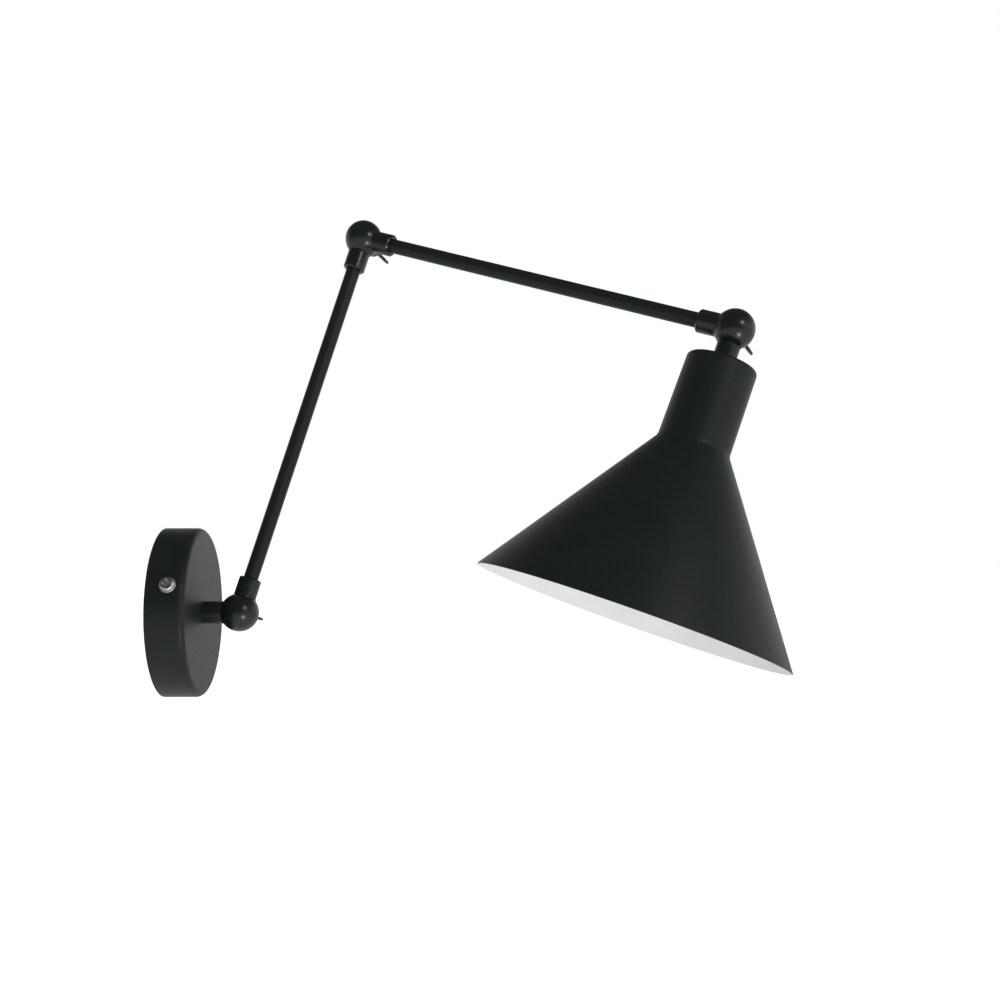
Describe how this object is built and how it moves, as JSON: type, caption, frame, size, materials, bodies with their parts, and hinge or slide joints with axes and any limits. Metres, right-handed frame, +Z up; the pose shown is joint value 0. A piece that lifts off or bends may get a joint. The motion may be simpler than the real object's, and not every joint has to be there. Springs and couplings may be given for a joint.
{
  "type": "accordion wall lamp",
  "caption": "Wall lamp with a round canopy, a folding pair of tube arms on wing-nut knuckles and a tilting cone shade, black outside and white inside.",
  "frame": {"origin": "centre of the two wall screw holes, on the plane where the lamp meets the wall", "axes": "+X out of the wall, +Z up, +Y to the left seen from the room"},
  "size_m": [0.3533, 0.217, 0.2924],
  "materials": {
    "black_paint": "satin black stoved paint on zinc castings and steel tube",
    "shade_paint": "satin black outside and matt white inside",
    "bright_steel": "zinc plated steel",
    "plated_strip": "galvanised sheet steel",
    "brass": "plain brass",
    "plated_brass": "nickel plated brass",
    "block_plastic": "natural white polyamide",
    "holder_plastic": "black phenolic",
    "porcelain": "white glazed porcelain",
    "fibre": "red vulcanised fibre",
    "wire_insulation": "brown and blue flexible insulation",
    "earth_insulation": "green and yellow flexible insulation"
  },
  "bodies": {
    "wall_base": {"mounting_bracket": "plated_strip", "canopy": "black_paint", "canopy_screws": "bright_steel", "canopy_screw_washers": "bright_steel", "terminal_block": "block_plastic", "terminal_sleeves": "brass", "terminal_screws": "bright_steel", "terminal_block_screw": "bright_steel", "earth_screw": "brass", "earth_lug": "brass", "earth_wire": "earth_insulation", "wires_wall": "wire_insulation", "swivel_stop_pin": "bright_steel"},
    "wall_stub": {"knuckle_front_stub": "black_paint", "swivel_washer_outer": "black_paint", "swivel_washer_inner": "bright_steel", "swivel_stop_washer": "bright_steel", "stub_lock_nut": "bright_steel", "pivot_stud_lower": "bright_steel", "friction_disc_lower": "fibre", "wires_stub": "wire_insulation"},
    "lower_arm": {"knuckle_rear_lower": "black_paint", "lower_arm_tube": "black_paint", "knuckle_rear_elbow": "black_paint", "wires_lower_arm": "wire_insulation"},
    "upper_arm": {"knuckle_front_elbow": "black_paint", "upper_arm_tube": "black_paint", "knuckle_front_shade": "black_paint", "pivot_stud_elbow": "bright_steel", "friction_disc_elbow": "fibre", "pivot_stud_shade": "bright_steel", "friction_disc_shade": "fibre", "wires_upper_arm": "wire_insulation"},
    "shade_head": {"knuckle_rear_shade": "black_paint", "shade": "shade_paint", "shade_washer": "bright_steel", "shade_lock_nut": "bright_steel", "lampholder_cap": "holder_plastic", "lampholder_skirt": "holder_plastic", "lampholder_core": "porcelain", "screw_shell": "plated_brass", "centre_contact": "brass", "lampholder_terminals": "brass", "lampholder_terminal_screws": "brass", "wires_shade": "wire_insulation"},
    "lower_wing_nut": {"wing_nut_lower": "black_paint", "nut_washer_lower": "bright_steel"},
    "elbow_wing_nut": {"wing_nut_elbow": "black_paint", "nut_washer_elbow": "bright_steel"},
    "shade_wing_nut": {"wing_nut_shade": "black_paint", "nut_washer_shade": "bright_steel"}
  },
  "joints": [
    {"name": "stub_swivel", "type": "hinge", "parent": "wall_base", "child": "wall_stub", "pos_m": [0, 0, 0], "axis": [1, 0, 0], "range_deg": [-165, 165]},
    {"name": "lower_arm_pivot", "type": "hinge", "parent": "wall_stub", "child": "lower_arm", "pos_m": [0.04284, 0, 0], "axis": [0, -0.9877, 0.1564], "range_deg": [-168.4, 21.6]},
    {"name": "elbow_pivot", "type": "hinge", "parent": "lower_arm", "child": "upper_arm", "pos_m": [0.11255, 0.03658, 0.23095], "axis": [0.312, 0.9193, -0.2398], "range_deg": [-200, 10]},
    {"name": "shade_pivot", "type": "hinge", "parent": "upper_arm", "child": "shade_head", "pos_m": [0.32672, -0.05504, 0.15835], "axis": [0.3316, 0.9244, -0.1883], "range_deg": [-194.6, 15.4]},
    {"name": "lower_wing_nut_turn", "type": "hinge", "parent": "wall_stub", "child": "lower_wing_nut", "pos_m": [0.04284, 0, 0], "axis": [0, 0.9877, -0.1564], "range_deg": [0, 360]},
    {"name": "elbow_wing_nut_turn", "type": "hinge", "parent": "upper_arm", "child": "elbow_wing_nut", "pos_m": [0.11255, 0.03658, 0.23095], "axis": [0.312, 0.9193, -0.2398], "range_deg": [0, 360]},
    {"name": "shade_wing_nut_turn", "type": "hinge", "parent": "upper_arm", "child": "shade_wing_nut", "pos_m": [0.32672, -0.05504, 0.15835], "axis": [0.3316, 0.9244, -0.1883], "range_deg": [0, 360]}
  ]
}
